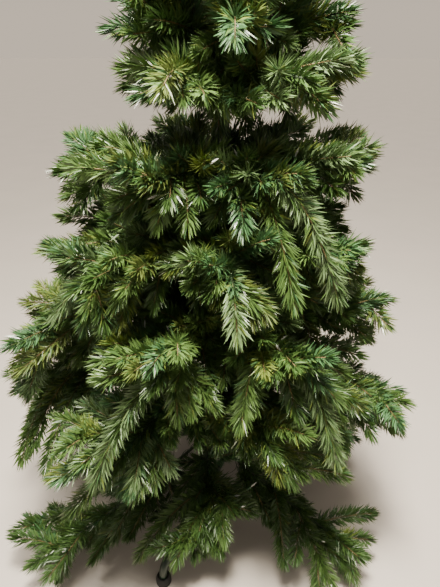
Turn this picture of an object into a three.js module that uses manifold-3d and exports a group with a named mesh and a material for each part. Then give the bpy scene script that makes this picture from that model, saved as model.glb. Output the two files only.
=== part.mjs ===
// An artificial Christmas tree on its folding metal stand, in millimetres, +Z up.
// A straight steel pole carries collars, each collar carries a whorl of wire arms, and each arm carries
// sprays of flat plastic needles. The origin is on the floor, under the middle of the stand.
// An azimuth is in degrees, 0 towards -Y (the tree's front) and 90 towards +X.
import * as THREE from "three";
import { mergeVertices } from "three/addons/utils/BufferGeometryUtils.js";
import Module from "manifold-3d";

const wasm = await Module();
wasm.setup();

// Driving dimensions of the whole tree
const TREE_HEIGHT = 1830;
const CLEARANCE = 0.3; // between pieces that touch
const LEAN = 2.6; // degrees that the tree leans towards +X out of its stand
const SEED = 20;

// Pole and collars
const POLE_SIDES = 10;
const POLE_FOOT_Z = 14;
const POLE_TOP_Z = 1455;
const POLE_RADII = [12.5, 11, 9]; // of the lower, middle and upper section
const SECTION_TOPS = [815, 1165, POLE_TOP_Z];
const SLEEVE_HEIGHT = 46; // the swaged sleeve at the top of a section
const SLEEVE_GROWTH = 1.6;
const COLLAR_HEIGHT = 22;
const COLLAR_GROWTH = 9; // how far a collar stands out of the pole

// Stand
const SOCKET_RADIUS = 19;
const SOCKET_HEIGHT = 150;
const SOCKET_SIDES = 20;
const LEAN_FROM = SOCKET_HEIGHT + 5; // the height at which the pole's lean begins
const HUB_RADIUS = 36;
const HUB_Z = [46, 92]; // the thick ring that the legs are fixed to
const LEG_COUNT = 4;
const FIRST_LEG_AZIMUTH = -25;
const LEG_RADIUS = 11;
const LEG_SIDES = 8;
const LEG_REACH = 275; // from the pole's axis to the middle of a foot
const LEG_BEND = 45; // level length of the bend down to the foot
const FOOT_RADIUS = 21;
const FOOT_HEIGHT = 28;
const FOOT_EDGE = 4; // rounding at its floor
const FOOT_FLOOR = 9; // thickness of rubber under the leg

// Arms and sprays. A spray is a slim three-sided core with rings of three needles standing out of it.
const WIRE_RADIUS = 5;
const BOUGH_SIDES = 6;
const BOUGH_LENGTH = 0.2; // share of an arm's reach that its bare bough takes
const ARM_FOOT = 22; // distance from the pole's axis at which an arm is level with its collar's middle
const RING_PITCH = 54; // from one ring of needles to the next
const TWIG_LENGTH = 0.42; // share of the arm's reach
const TWIG_LIFTS = [-28, 40, 8, -42, 30]; // degrees over the arm's direction
const CORE_RADIUS = 6;
const NEEDLE_LENGTH = 68;
const FREE_ROOT = 0.3; // share of the pitch that stays bare at a core's root
const FREE_END = 0.55; // and at its point
const NEEDLE_LEAN = 54; // degrees from the core's direction
const RING_TWIST = 40; // degrees from one ring of needles to the next, round the core
const SPACE_MARGIN = 3; // between the space of one mass and the next
const FLOOR_MARGIN = 8; // between the lowest needles and the floor

// The whorls, from the floor up. height is the collar's, first is an arm's azimuth, and reach is how far the
// sprays stand out from the pole. An arm to the front is shorter by the share front, and one to the left is
// longer by the share left, as one to the right is shorter.
// An arm sets out at the slope rise, and droop bends it down, or up where it is negative.
// spread is the angle in degrees between a twig and its arm.
// below and above limit how thick a whorl's layer of needles is under and over its arms.
const WHORLS = [
  { name: "a", height: 290, arms: 6, first: -60, reach: 560, front: 0.5, left: 0.045, rise: -0.55, droop: -0.2,
    twigs: 5, spread: 38, below: 80, above: 70 },
  { name: "b", height: 535, arms: 6, first: -94, reach: 538, front: 0.52, left: 0.06, rise: 0.3, droop: 0.52,
    twigs: 6, spread: 46, below: 105, above: 100 },
  { name: "c", height: 725, arms: 6, first: -82, reach: 458, front: 0.36, left: 0.07, rise: 0.28, droop: 0.38,
    twigs: 6, spread: 46, below: 100, above: 100 },
  { name: "d", height: 905, arms: 6, first: -113, reach: 360, front: 0.26, left: 0.07, rise: 0.3, droop: 0.38,
    twigs: 6, spread: 46, below: 95, above: 90 },
  { name: "e", height: 1060, arms: 6, first: -92, reach: 330, front: 0.4, left: 0.045, rise: 0.36, droop: 0.3,
    twigs: 5, spread: 40, below: 90, above: 40 },
  { name: "f", height: 1216, arms: 5, first: -36, reach: 250, front: 0.2, left: -0.12, rise: 0.46, droop: 0.4,
    twigs: 4, spread: 46, below: 42, above: 60 },
  { name: "g", height: 1300, arms: 4, first: -85, reach: 235, front: 0.2, left: 0, rise: 0.32, droop: 0.3,
    twigs: 3, spread: 46, below: 60, above: 60 },
  { name: "h", height: 1385, arms: 4, first: -40, reach: 195, front: 0.2, left: 0, rise: 0.6, droop: 0.3,
    twigs: 2, spread: 46, below: 55, above: 55 },
];
const BOUGH_WHORLS = "a"; // the whorls whose arms show a bare bough next to the pole

// The leader at the top: an upright stem with rings of sprays round it
const LEADER_RADIUS = 150;
const LEADER_TWIGS = 10;
const LEADER_TWIG_LENGTH = 165;
const GOLDEN_TURN = 137.5; // degrees from one of them to the next, round the stem

const COLOURS = {
  pole: 0x1d2a1f,
  stand: 0x1c241e,
  rubber: 0x101210,
  bough: 0x3a3524,
  needles: [0x24502c, 0x2c5c31, 0x1f4628, 0x356537],
};

const radians = THREE.MathUtils.degToRad;

// A seeded stream of numbers from 0 to 1
function seededStream(seed) {
  let state = seed >>> 0;
  return () => {
    state = (state + 0x6d2b79f5) >>> 0;
    let t = state;
    t = Math.imul(t ^ (t >>> 15), t | 1);
    t ^= t + Math.imul(t ^ (t >>> 7), t | 61);
    return ((t ^ (t >>> 14)) >>> 0) / 4294967296;
  };
}

function pointAt(azimuth, radius, z) {
  const angle = radians(azimuth);
  return new THREE.Vector3(radius * Math.sin(angle), -radius * Math.cos(angle), z);
}

// Solids

function solidFrom(geometry) {
  const bare = new THREE.BufferGeometry();
  bare.setAttribute("position", geometry.getAttribute("position"));
  bare.setIndex(geometry.getIndex());
  const merged = mergeVertices(bare, 1e-3);
  return new wasm.Manifold(
    new wasm.Mesh({
      numProp: 3,
      vertProperties: merged.getAttribute("position").array,
      triVerts: new Uint32Array(merged.getIndex().array),
    }),
  );
}

function geometryFrom(solid) {
  const mesh = solid.getMesh();
  const geometry = new THREE.BufferGeometry();
  geometry.setAttribute("position", new THREE.BufferAttribute(new Float32Array(mesh.vertProperties), 3));
  geometry.setIndex(new THREE.BufferAttribute(new Uint32Array(mesh.triVerts), 1));
  return geometry;
}

// The solids fused into one body: a sealed hollow is filled and a loose scrap is dropped
function fused(solids) {
  const bodies = wasm.Manifold.union(solids).decompose();
  return bodies.reduce((a, b) => (b.volume() > a.volume() ? b : a));
}

// The points and directions at even steps along a curve
function stationsAlong(curve, steps) {
  return Array.from({ length: steps + 1 }, (_, i) => ({
    point: curve.getPoint(i / steps),
    tangent: curve.getTangent(i / steps),
  }));
}

// A limb of round section through stations in the upright plane of an azimuth, tapering from one radius to
// the other, with flat ends
function limbGeometry(stations, azimuth, startRadius, endRadius, sides) {
  const across = pointAt(azimuth - 90, 1, 0);
  const steps = stations.length - 1;
  const geometry = new THREE.CylinderGeometry(1, 1, 1, sides, steps);
  const position = geometry.getAttribute("position");
  for (let i = 0; i < position.count; i += 1) {
    const t = position.getY(i) + 0.5;
    const station = stations[Math.round(t * steps)];
    const upward = new THREE.Vector3().crossVectors(across, station.tangent);
    const radius = THREE.MathUtils.lerp(startRadius, endRadius, t);
    const point = station.point
      .clone()
      .addScaledVector(across, radius * position.getX(i))
      .addScaledVector(upward, radius * position.getZ(i));
    position.setXYZ(i, point.x, point.y, point.z);
  }
  return geometry;
}

// The space that a whorl's arms have

function reachAt(whorl, azimuth) {
  const frontness = Math.max(0, Math.cos(radians(azimuth))) ** 4;
  const leftness = -Math.sin(radians(azimuth));
  return whorl.reach * (1 - whorl.front * frontness) * (1 + whorl.left * leftness);
}

function armHeight(whorl, radius) {
  const share = (radius - ARM_FOOT) / whorl.reach;
  return whorl.height + whorl.reach * share * (whorl.rise - whorl.droop * share);
}

// The surface half way between two neighbouring whorls
function boundary(lower, upper, radius) {
  return (armHeight(lower, radius) + armHeight(upper, radius)) / 2;
}

function layerOf(index, radius) {
  const whorl = WHORLS[index];
  const middle = armHeight(whorl, radius);
  let low = Math.max(middle - whorl.below, FLOOR_MARGIN);
  let high = middle + whorl.above;
  if (index > 0) low = Math.max(low, boundary(WHORLS[index - 1], whorl, radius) + SPACE_MARGIN);
  if (index < WHORLS.length - 1) high = Math.min(high, boundary(whorl, WHORLS[index + 1], radius) - SPACE_MARGIN);
  return [low, high];
}

// A test for points: inside this arm's sector, its reach and its layer
function armSpace(index, azimuth) {
  const whorl = WHORLS[index];
  const halfSector = 180 / whorl.arms;
  return (point, margin) => {
    const radius = Math.hypot(point.x, point.y);
    const pointAzimuth = THREE.MathUtils.radToDeg(Math.atan2(point.x, -point.y));
    const turn = THREE.MathUtils.euclideanModulo(pointAzimuth - azimuth + 180, 360) - 180;
    const toEdge = radius * Math.sin(radians(halfSector - Math.abs(turn)));
    const [low, high] = layerOf(index, radius);
    return (
      toEdge > SPACE_MARGIN + margin &&
      radius + margin < reachAt(whorl, pointAzimuth) &&
      radius > poleRadiusAt(point.z) + COLLAR_GROWTH + margin &&
      point.z > low + margin &&
      point.z < high - margin
    );
  };
}

function fits(space, start, end, margin) {
  return [0, 0.25, 0.5, 0.75, 1].every((t) => space(new THREE.Vector3().lerpVectors(start, end, t), margin));
}

function poleRadiusAt(z) {
  return POLE_RADII[Math.min(SECTION_TOPS.filter((top) => z > top).length, POLE_RADII.length - 1)];
}

// Sprays

// A core along a curve with rings of needles, as one closed skin. across is square to the curve's plane, the
// root's first corner is at firstAngle from it, and rootShare is the share of the radius that the root has.
// A needle that would leave the space is left out.
function sprayGeometry(curve, across, firstAngle, radius, rootShare, needleLength, space, random) {
  const vertices = [];
  const faces = [];
  const length = curve.getLength();
  const rings = Math.max(2, Math.round(length / RING_PITCH));
  const pitch = length / (rings + FREE_ROOT + FREE_END);
  const addVertex = (point) => vertices.push(point) - 1;
  const ringAt = (along, angle) => {
    const t = along / length;
    const tangent = curve.getTangent(t);
    const upward = new THREE.Vector3().crossVectors(tangent, across);
    const coreRadius = radius * (t > 0 ? 1 - 0.3 * t : rootShare);
    return [0, 1, 2].map((k) => {
      const turn = radians(angle + 120 * k);
      const point = curve.getPoint(t).addScaledVector(across, coreRadius * Math.cos(turn));
      return addVertex(point.addScaledVector(upward, coreRadius * Math.sin(turn)));
    });
  };
  const addBand = (lower, upper, needleTips) => {
    for (const k of [0, 1, 2]) {
      const corners = [lower[k], lower[(k + 1) % 3], upper[(k + 1) % 3], upper[k]];
      const tip = needleTips ? needleTips(corners) : null;
      if (tip === null) {
        faces.push(corners[0], corners[1], corners[2], corners[0], corners[2], corners[3]);
      } else {
        corners.forEach((corner, i) => faces.push(corner, corners[(i + 1) % 4], tip));
      }
    }
  };
  const growNeedle = (tangent, middle) => (corners) => {
    const base = new THREE.Vector3();
    corners.forEach((corner) => base.addScaledVector(vertices[corner], 0.25));
    const outward = base.clone().sub(middle).normalize();
    const lean = radians(NEEDLE_LEAN + 12 * (random() - 0.5));
    const heading = tangent.clone().multiplyScalar(Math.cos(lean)).addScaledVector(outward, Math.sin(lean));
    const tip = base.clone().addScaledVector(heading, needleLength * (0.88 + 0.24 * random()));
    return fits(space, base, tip, 0.5) ? addVertex(tip) : null;
  };
  let last = ringAt(0, firstAngle);
  faces.push(last[0], last[2], last[1]);
  for (let i = 0; i < rings; i += 1) {
    const along = pitch * (i + FREE_ROOT + 1);
    const upper = ringAt(along, firstAngle + RING_TWIST * (i + 1));
    const t = (along - pitch / 2) / length;
    addBand(last, upper, growNeedle(curve.getTangent(t), curve.getPoint(t)));
    last = upper;
  }
  const apex = addVertex(curve.getPoint(1));
  for (const k of [0, 1, 2]) faces.push(last[k], last[(k + 1) % 3], apex);
  const geometry = new THREE.BufferGeometry().setFromPoints(vertices);
  geometry.setIndex(faces);
  return geometry;
}

function straightSpray(start, end, radius, needleLength, space, random) {
  const direction = new THREE.Vector3().subVectors(end, start).normalize();
  const across = new THREE.Vector3().crossVectors(new THREE.Vector3(0, 0, 1), direction);
  if (across.length() < 0.1) across.set(1, 0, 0);
  across.normalize();
  const curve = new THREE.LineCurve3(start, end);
  return sprayGeometry(curve, across, 120 * random(), radius, 0.3, needleLength, space, random);
}

// The twig from a place on the stem, shortened until it fits its space. Nothing if even a short one leaves it.
function twigEnd(start, heading, length, space, margin) {
  for (const share of [1, 0.88, 0.76, 0.64, 0.52]) {
    const end = start.clone().addScaledVector(heading, length * share);
    if (space(end, margin)) return end;
  }
  return null;
}

// Arms

class ArmCurve extends THREE.Curve {
  constructor(whorl, azimuth, startRadius, endRadius) {
    super();
    this.whorl = whorl;
    this.azimuth = azimuth;
    this.startRadius = startRadius;
    this.endRadius = endRadius;
  }
  getPoint(t) {
    const radius = THREE.MathUtils.lerp(this.startRadius, this.endRadius, t);
    return pointAt(this.azimuth, radius, armHeight(this.whorl, radius));
  }
}

// How far the collar's faceted side stands out towards an azimuth, at an offset to the side
function collarFace(whorl, azimuth, offset) {
  const facetAngle = 360 / POLE_SIDES;
  const apothem = (poleRadiusAt(whorl.height) + COLLAR_GROWTH) * Math.cos(radians(facetAngle / 2));
  let face = Infinity;
  for (let facet = 0; facet < POLE_SIDES; facet += 1) {
    const turn = radians((facet + 0.5) * facetAngle - azimuth);
    if (Math.cos(turn) > 0.1) face = Math.min(face, (apothem - offset * Math.sin(turn)) / Math.cos(turn));
  }
  return face;
}

// The distance from the axis at which an arm's flat root, with a corner up, stands clear of its collar
function armRootRadius(whorl, azimuth, sides) {
  const halfWidth = WIRE_RADIUS * Math.sin((2 * Math.PI) / sides);
  const tilt = Math.abs(Math.sin(Math.atan(whorl.rise)));
  let face = 0;
  for (let i = -4; i <= 4; i += 1) {
    const offset = (halfWidth * i) / 4;
    const height = WIRE_RADIUS - Math.abs(offset) * Math.tan(Math.PI / sides);
    face = Math.max(face, collarFace(whorl, azimuth, offset) + height * tilt);
  }
  return face + CLEARANCE;
}

function boughGeometry(whorl, azimuth) {
  const end = reachAt(whorl, azimuth) * BOUGH_LENGTH;
  const curve = new ArmCurve(whorl, azimuth, armRootRadius(whorl, azimuth, BOUGH_SIDES), end);
  return limbGeometry(stationsAlong(curve, 2), azimuth, WIRE_RADIUS, WIRE_RADIUS * 0.85, BOUGH_SIDES);
}

function foliageGeometry(index, azimuth, random) {
  const whorl = WHORLS[index];
  const space = armSpace(index, azimuth);
  const reach = reachAt(whorl, azimuth);
  const scale = THREE.MathUtils.clamp(reach / 450, 0.7, 1);
  const hasBough = BOUGH_WHORLS.includes(whorl.name);
  const startRadius = hasBough ? reach * BOUGH_LENGTH + CLEARANCE : armRootRadius(whorl, azimuth, 3);
  const curve = new ArmCurve(whorl, azimuth, startRadius, reach * 0.985);
  const across = pointAt(azimuth + 90, 1, 0);
  const radius = CORE_RADIUS * scale;
  const needle = NEEDLE_LENGTH * scale;
  const rootShare = WIRE_RADIUS / (1.2 * radius);
  const arm = sprayGeometry(curve, across, 90, 1.2 * radius, rootShare, needle, space, random);
  const pieces = [solidFrom(arm)];
  for (let i = 0; i < whorl.twigs; i += 1) {
    const t = 0.14 + (0.62 * i) / (whorl.twigs - 1);
    const forward = curve.getTangent(t);
    const side = i % 2 ? 1 : -1;
    const spread = side * (whorl.spread + 12 * (random() - 0.5));
    const lift = TWIG_LIFTS[i % TWIG_LIFTS.length] + 8 * (random() - 0.5);
    const heading = forward.applyAxisAngle(new THREE.Vector3(0, 0, 1), radians(spread));
    const turnAxis = new THREE.Vector3().crossVectors(heading, new THREE.Vector3(0, 0, 1)).normalize();
    heading.applyAxisAngle(turnAxis, radians(lift));
    const start = curve.getPoint(t);
    const end = twigEnd(start, heading, reach * TWIG_LENGTH * (1.1 - 0.35 * t), space, 4);
    if (end) pieces.push(solidFrom(straightSpray(start, end, radius, needle, space, random)));
  }
  return geometryFrom(fused(pieces));
}

function leaderSpace(point, margin) {
  const radius = Math.hypot(point.x, point.y);
  const highest = WHORLS[WHORLS.length - 1];
  const floor = Math.max(armHeight(highest, radius) + highest.above + SPACE_MARGIN, POLE_TOP_Z + CLEARANCE);
  const share = (TREE_HEIGHT - point.z) / (TREE_HEIGHT - POLE_TOP_Z);
  const room = 40 + (LEADER_RADIUS - 40) * share * 1.3;
  return point.z > floor + margin && radius + margin < room && point.z + margin < TREE_HEIGHT;
}

function leaderGeometry(random) {
  const foot = new THREE.Vector3(0, 0, POLE_TOP_Z + CLEARANCE);
  const top = new THREE.Vector3(0, 0, TREE_HEIGHT);
  const needle = NEEDLE_LENGTH * 0.75;
  const pieces = [solidFrom(straightSpray(foot, top, CORE_RADIUS, needle, leaderSpace, random))];
  for (let i = 0; i < LEADER_TWIGS; i += 1) {
    const share = i / (LEADER_TWIGS - 1);
    const start = new THREE.Vector3().lerpVectors(foot, top, 0.02 + 0.68 * share);
    const climb = radians(THREE.MathUtils.lerp(24, 62, share) + 8 * (random() - 0.5));
    const heading = pointAt(i * GOLDEN_TURN, Math.cos(climb), Math.sin(climb));
    const end = twigEnd(start, heading, LEADER_TWIG_LENGTH * (1 - 0.4 * share), leaderSpace, 4);
    if (end) pieces.push(solidFrom(straightSpray(start, end, CORE_RADIUS * 0.8, needle, leaderSpace, random)));
  }
  return geometryFrom(fused(pieces));
}

// Pole

// The pole's outline: three sections with a swaged sleeve where the next one plugs in, and a collar at each whorl
function poleGeometry() {
  const outline = [new THREE.Vector2(0, POLE_FOOT_Z), new THREE.Vector2(POLE_RADII[0], POLE_FOOT_Z)];
  const steps = [[LEAN_FROM, POLE_RADII[0], POLE_RADII[0]]];
  for (const whorl of WHORLS) {
    const radius = poleRadiusAt(whorl.height);
    steps.push([whorl.height - COLLAR_HEIGHT / 2, radius, radius + COLLAR_GROWTH]);
    steps.push([whorl.height + COLLAR_HEIGHT / 2, radius + COLLAR_GROWTH, radius]);
  }
  for (const section of [0, 1]) {
    const top = SECTION_TOPS[section];
    steps.push([top - SLEEVE_HEIGHT, POLE_RADII[section], POLE_RADII[section] + SLEEVE_GROWTH]);
    steps.push([top, POLE_RADII[section] + SLEEVE_GROWTH, POLE_RADII[section + 1]]);
  }
  steps.sort((a, b) => a[0] - b[0]);
  for (const [z, before, after] of steps) outline.push(new THREE.Vector2(before, z), new THREE.Vector2(after, z));
  const last = POLE_RADII[POLE_RADII.length - 1];
  outline.push(new THREE.Vector2(last, POLE_TOP_Z), new THREE.Vector2(0, POLE_TOP_Z));
  return new THREE.LatheGeometry(outline, POLE_SIDES).rotateX(Math.PI / 2);
}

// Stand

// A cup round the pole's foot, with the thick ring that the legs are fixed to
function socketGeometry() {
  const bore = (POLE_RADII[0] + CLEARANCE) / Math.cos(Math.PI / SOCKET_SIDES);
  const outline = [
    [0, 0],
    [SOCKET_RADIUS, 0],
    [SOCKET_RADIUS, HUB_Z[0]],
    [HUB_RADIUS, HUB_Z[0]],
    [HUB_RADIUS, HUB_Z[1]],
    [SOCKET_RADIUS, HUB_Z[1]],
    [SOCKET_RADIUS, SOCKET_HEIGHT],
    [bore, SOCKET_HEIGHT],
    [bore, POLE_FOOT_Z - CLEARANCE],
    [0, POLE_FOOT_Z - CLEARANCE],
  ].map(([x, z]) => new THREE.Vector2(x, z));
  const turn = radians(FIRST_LEG_AZIMUTH) + Math.PI / SOCKET_SIDES;
  return new THREE.LatheGeometry(outline, SOCKET_SIDES).rotateX(Math.PI / 2).rotateZ(turn);
}

// A leg leaves the hub level, bends down and stands upright in its foot
function legGeometry(azimuth) {
  const z = (HUB_Z[0] + HUB_Z[1]) / 2;
  const bendStart = pointAt(azimuth, LEG_REACH - LEG_BEND, z);
  const bendEnd = pointAt(azimuth, LEG_REACH, FOOT_HEIGHT);
  const hubFace = HUB_RADIUS * Math.cos(Math.PI / SOCKET_SIDES);
  const run = new THREE.LineCurve3(pointAt(azimuth, hubFace + CLEARANCE, z), bendStart);
  const bend = new THREE.QuadraticBezierCurve3(bendStart, pointAt(azimuth, LEG_REACH, z), bendEnd);
  const drop = new THREE.LineCurve3(bendEnd, pointAt(azimuth, LEG_REACH, FOOT_FLOOR + CLEARANCE));
  const stations = [
    ...stationsAlong(run, 1),
    ...stationsAlong(bend, 4).slice(1),
    ...stationsAlong(drop, 1).slice(1),
  ];
  return limbGeometry(stations, azimuth, LEG_RADIUS, LEG_RADIUS, LEG_SIDES);
}

// A rubber cup round the leg's end
function footGeometry() {
  const bore = (LEG_RADIUS + CLEARANCE) / Math.cos(Math.PI / LEG_SIDES);
  const outline = [
    [0, 0],
    [FOOT_RADIUS - FOOT_EDGE, 0],
    [FOOT_RADIUS, FOOT_EDGE],
    [FOOT_RADIUS, FOOT_HEIGHT / 2],
    [FOOT_RADIUS * 0.78, FOOT_HEIGHT],
    [bore, FOOT_HEIGHT],
    [bore, FOOT_FLOOR],
    [0, FOOT_FLOOR],
  ].map(([x, z]) => new THREE.Vector2(x, z));
  return new THREE.LatheGeometry(outline, LEG_SIDES).rotateX(Math.PI / 2);
}

// Moves all that is over the stand sideways by its height, as the pole leans
function leaned(geometry) {
  const position = geometry.getAttribute("position");
  for (let i = 0; i < position.count; i += 1) {
    const height = Math.max(0, position.getZ(i) - LEAN_FROM);
    position.setX(i, position.getX(i) + height * Math.tan(radians(LEAN)));
  }
  return geometry;
}

// Assembly

const tree = new THREE.Group();

function addPiece(name, geometry, colour, roughness, metalness) {
  const mesh = new THREE.Mesh(geometry, new THREE.MeshStandardMaterial({ color: colour, roughness, metalness }));
  mesh.name = name;
  tree.add(mesh);
  return mesh;
}

addPiece("trunk_pole", leaned(poleGeometry()), COLOURS.pole, 0.45, 0.4);
addPiece("stand_socket", socketGeometry(), COLOURS.stand, 0.45, 0.4);
for (let i = 0; i < LEG_COUNT; i += 1) {
  const azimuth = FIRST_LEG_AZIMUTH + (360 / LEG_COUNT) * i;
  addPiece(`stand_leg_${i + 1}`, legGeometry(azimuth), COLOURS.stand, 0.45, 0.4);
  const foot = addPiece(`stand_foot_${i + 1}`, footGeometry(), COLOURS.rubber, 0.8, 0);
  foot.position.copy(pointAt(azimuth, LEG_REACH, 0));
  foot.rotation.z = radians(azimuth);
}
WHORLS.forEach((whorl, index) => {
  for (let i = 0; i < whorl.arms; i += 1) {
    const azimuth = whorl.first + (360 / whorl.arms) * i;
    const random = seededStream(SEED + 100 * index + i);
    if (BOUGH_WHORLS.includes(whorl.name)) {
      addPiece(`bough_${whorl.name}${i + 1}`, leaned(boughGeometry(whorl, azimuth)), COLOURS.bough, 0.8, 0);
    }
    const colour = COLOURS.needles[(index + i) % COLOURS.needles.length];
    const foliage = leaned(foliageGeometry(index, azimuth, random));
    addPiece(`foliage_${whorl.name}${i + 1}`, foliage, colour, 0.5, 0);
  }
});
addPiece("foliage_top", leaned(leaderGeometry(seededStream(SEED - 1))), COLOURS.needles[1], 0.5, 0);

export default tree;
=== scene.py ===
# An artificial Christmas tree with wired lamps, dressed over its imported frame.
# All sizes are metres in the part's own frame: +Z up, the origin on the floor under the pole, -Y the front.
# An azimuth is in degrees, 0 towards -Y and 90 towards +X.
import math

import bpy
import numpy as np
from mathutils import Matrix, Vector


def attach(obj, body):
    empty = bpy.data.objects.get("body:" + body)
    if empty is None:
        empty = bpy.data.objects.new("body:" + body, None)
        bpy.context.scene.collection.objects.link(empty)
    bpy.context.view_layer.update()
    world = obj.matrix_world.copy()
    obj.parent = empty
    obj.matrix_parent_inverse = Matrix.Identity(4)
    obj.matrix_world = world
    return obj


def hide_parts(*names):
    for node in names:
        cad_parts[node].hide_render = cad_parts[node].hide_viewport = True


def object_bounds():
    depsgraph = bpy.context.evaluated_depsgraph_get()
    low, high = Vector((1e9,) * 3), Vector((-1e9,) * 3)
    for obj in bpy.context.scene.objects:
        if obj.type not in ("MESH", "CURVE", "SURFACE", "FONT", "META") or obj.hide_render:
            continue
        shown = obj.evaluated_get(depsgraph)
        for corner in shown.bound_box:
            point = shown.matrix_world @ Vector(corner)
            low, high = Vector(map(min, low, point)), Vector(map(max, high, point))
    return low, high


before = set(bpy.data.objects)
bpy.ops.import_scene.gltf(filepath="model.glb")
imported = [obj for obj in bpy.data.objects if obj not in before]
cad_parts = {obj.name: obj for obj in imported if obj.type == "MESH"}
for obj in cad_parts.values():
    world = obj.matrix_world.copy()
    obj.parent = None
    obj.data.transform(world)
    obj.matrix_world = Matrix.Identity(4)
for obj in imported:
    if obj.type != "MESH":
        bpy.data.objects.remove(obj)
CAD_BOX = np.array(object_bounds())
UP = np.array([0.0, 0.0, 1.0])
RIGHT = np.array([1.0, 0.0, 0.0])
NEARLY_UPRIGHT = 0.05  # how far off UP, as a sine
STEEP = 0.9  # how far up, as a sine

# The tree's sizes, as in the part's source
TREE_HEIGHT = 1.83
LEAN = math.tan(math.radians(2.6))
LEAN_FROM = 0.155
SPACE_MARGIN = 0.003
FLOOR_MARGIN = 0.008
ARM_FOOT = 0.022
ARM_SHARE = 0.985  # of its reach
BOUGH_LENGTH = 0.2
POLE_FOOT_Z = 0.014
POLE_TOP_Z = 1.455
POLE_RADII = [0.0125, 0.011, 0.009]
SECTION_TOPS = [0.815, 1.165, POLE_TOP_Z]
SLEEVE_HEIGHT = 0.046
SLEEVE_GROWTH = 0.0016
COLLAR_HEIGHT = 0.022
COLLAR_GROWTH = 0.009
COLLAR_RIM = 0.75  # share of it at the collar's edge
POLE_BEVEL = 0.0012
BEVEL_WIDTH = 0.3  # share of its height
TWIG_PLACES = [0.14, 0.76]  # of an arm's first and last twig
TWIG_LENGTHS = [0.462, 0.315]  # shares of the reach, at an arm's root and at its tip
TWIG_LIFTS = [-28, 40, 8, -42, 30]
GOLDEN_TURN = 137.5
WHORL_KEYS = "height arms first reach front left rise droop twigs spread below above".split()
WHORL_ROWS = {
    "a": [0.29, 6, -60, 0.56, 0.5, 0.045, -0.55, -0.2, 5, 38, 0.08, 0.07],
    "b": [0.535, 6, -94, 0.538, 0.52, 0.06, 0.3, 0.52, 6, 46, 0.105, 0.1],
    "c": [0.725, 6, -82, 0.458, 0.36, 0.07, 0.28, 0.38, 6, 46, 0.1, 0.1],
    "d": [0.905, 6, -113, 0.36, 0.26, 0.07, 0.3, 0.38, 6, 46, 0.095, 0.09],
    "e": [1.06, 6, -92, 0.33, 0.4, 0.045, 0.36, 0.3, 5, 40, 0.09, 0.04],
    "f": [1.216, 5, -36, 0.25, 0.2, -0.12, 0.46, 0.4, 4, 46, 0.042, 0.06],
    "g": [1.3, 4, -85, 0.235, 0.2, 0.0, 0.32, 0.3, 3, 46, 0.06, 0.06],
    "h": [1.385, 4, -40, 0.195, 0.2, 0.0, 0.6, 0.3, 2, 46, 0.055, 0.055],
}
WHORLS = {name: dict(zip(WHORL_KEYS, row)) for name, row in WHORL_ROWS.items()}
BOUGH_WHORL = "a"
LEADER_RADIUS = 0.15
LEADER_TIP_RADIUS = 0.04
LEADER_FULLNESS = 1.3
SOCKET_RADIUS = 0.019
SOCKET_HEIGHT = 0.15
HUB_RADIUS = 0.036
HUB_Z = [0.046, 0.092]
LEG_COUNT = 4
FIRST_LEG_AZIMUTH = -25
LEG_AZIMUTHS = [FIRST_LEG_AZIMUTH + 360 * i / LEG_COUNT for i in range(LEG_COUNT)]
LEG_RADIUS = 0.011
LEG_Z = (HUB_Z[0] + HUB_Z[1]) / 2
LEG_RUN = [0.033, 0.1, 0.17]
LEG_END_GAP = 0.001
LEG_REACH = 0.275
LEG_BEND = 0.045
FOOT_RADIUS = 0.021
FOOT_HEIGHT = 0.028
FOOT_FLOOR = 0.009
FOOT_GROOVE = 0.0012

# Sprays, as the real ones are. A pair goes from a spray's root to its tip, or from the least to the most.
NEEDLE_LENGTHS = [0.03192, 0.04256]
NEEDLE_WIDTHS = [0.002125, 0.002875]
NEEDLE_SHOULDER = 0.45  # share of its length at which a needle is widest
NEEDLES_PER_METRE = 1950
FEWEST_NEEDLES = 12
NEEDLE_LEAN = [68, 46]  # degrees to the wire
NEEDLE_LEAN_SCATTER = 7
NEEDLE_BEND = 14  # degrees by which its outer part leans less
NEEDLE_BEND_SCATTER = 9
NEEDLE_ROLL_SCATTER = 0.6  # radians
LOWEST_NEEDLE = 0.002
TUFT_ROOM = 0.028  # how far the last needles reach past the wire's end
TUFT_LENGTH = 0.02  # the end of a wire, where the needles close in
TUFT_CLOSING = 0.65  # share of their lean that they lose there
TUFT_SHORTENING = 0.2
SPRAY_FLATNESS = 0.85
SPRAY_POINTS = 7
SPRAY_SHARES = [1, 0.88, 0.76, 0.64, 0.52]  # of its length, tried until a spray fits
SPRAY_RADII = [0.0016, 0.00096]
ARM_POINTS = 22
ARM_RADII = [0.0042, 0.00189]
TWIST_PITCH = 0.014
TWIST_DEPTH = 0.2  # share of the radius
TWIST_STEP = 0.0022
TWIST_OVERLAP = 0.06  # share of the arm over which its twist goes on into the needles
FORWARD_STEP = 0.01
BARE_ROOT = 0.035  # the stretch of an arm at the pole that has no needles
SECTOR_OVERLAP = 0.035  # how far a spray may reach between those of the next arm
REACH_MARGIN = 0.012  # how far a spray's wire ends short of the whorl's reach
LAYER_OVERLAP = 0.012  # how far a spray's wire may reach between those of the next whorl
BOX_GROWTH = 0.008  # how far needles may stand out of the part's box
PIECE_LIMIT = 190000  # triangles

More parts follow.
